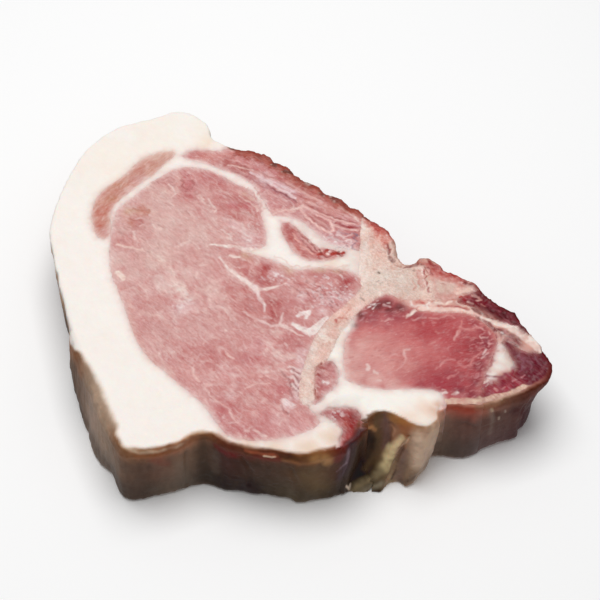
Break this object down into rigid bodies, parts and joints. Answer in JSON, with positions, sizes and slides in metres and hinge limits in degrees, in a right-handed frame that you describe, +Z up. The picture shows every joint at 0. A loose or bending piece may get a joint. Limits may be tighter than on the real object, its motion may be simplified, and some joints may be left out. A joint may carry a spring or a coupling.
{
  "type": "raw pork chop",
  "caption": "Thick raw pork loin chop cut through the loin eye, the T-shaped bone and the tenderloin, with a cap of back fat, a dark rind and a folded flap.",
  "frame": {"origin": "centre of the chop's box, on the surface that its lower cut face lies on", "axes": "+X from the back fat to the thin end of the tenderloin, +Y from the belly cut to the sawn spine, +Z up out of the upper cut face"},
  "size_m": [0.1518, 0.1402, 0.023],
  "materials": {
    "back_fat": "firm, cream-white fat, satin",
    "inner_fat": "firm, cream-white fat, satin",
    "tenderloin_fat": "firm, cream-white fat, satin",
    "loin_eye": "moist, fine-grained pink meat",
    "back_muscle": "moist, fine-grained pink meat",
    "cap_muscle": "moist, fine-grained pink meat",
    "rib_muscle": "moist, fine-grained pink meat",
    "pocket_muscle": "wet, dark red meat",
    "tenderloin": "wet, dark red meat",
    "tip_muscle": "wet, dark red meat",
    "side_muscle": "wet, dark red meat",
    "flank_muscle": "wet, dark red meat",
    "bone": "sawn, porous bone",
    "cartilage": "pale, moist cartilage"
  },
  "bodies": {
    "root": {"back_fat": "back_fat", "inner_fat": "inner_fat", "tenderloin_fat": "tenderloin_fat", "loin_eye": "loin_eye", "back_muscle": "back_muscle", "cap_muscle": "cap_muscle", "rib_muscle": "rib_muscle", "pocket_muscle": "pocket_muscle", "tenderloin": "tenderloin", "tip_muscle": "tip_muscle", "side_muscle": "side_muscle", "flank_muscle": "flank_muscle", "bone": "bone", "cartilage": "cartilage"}
  },
  "joints": []
}
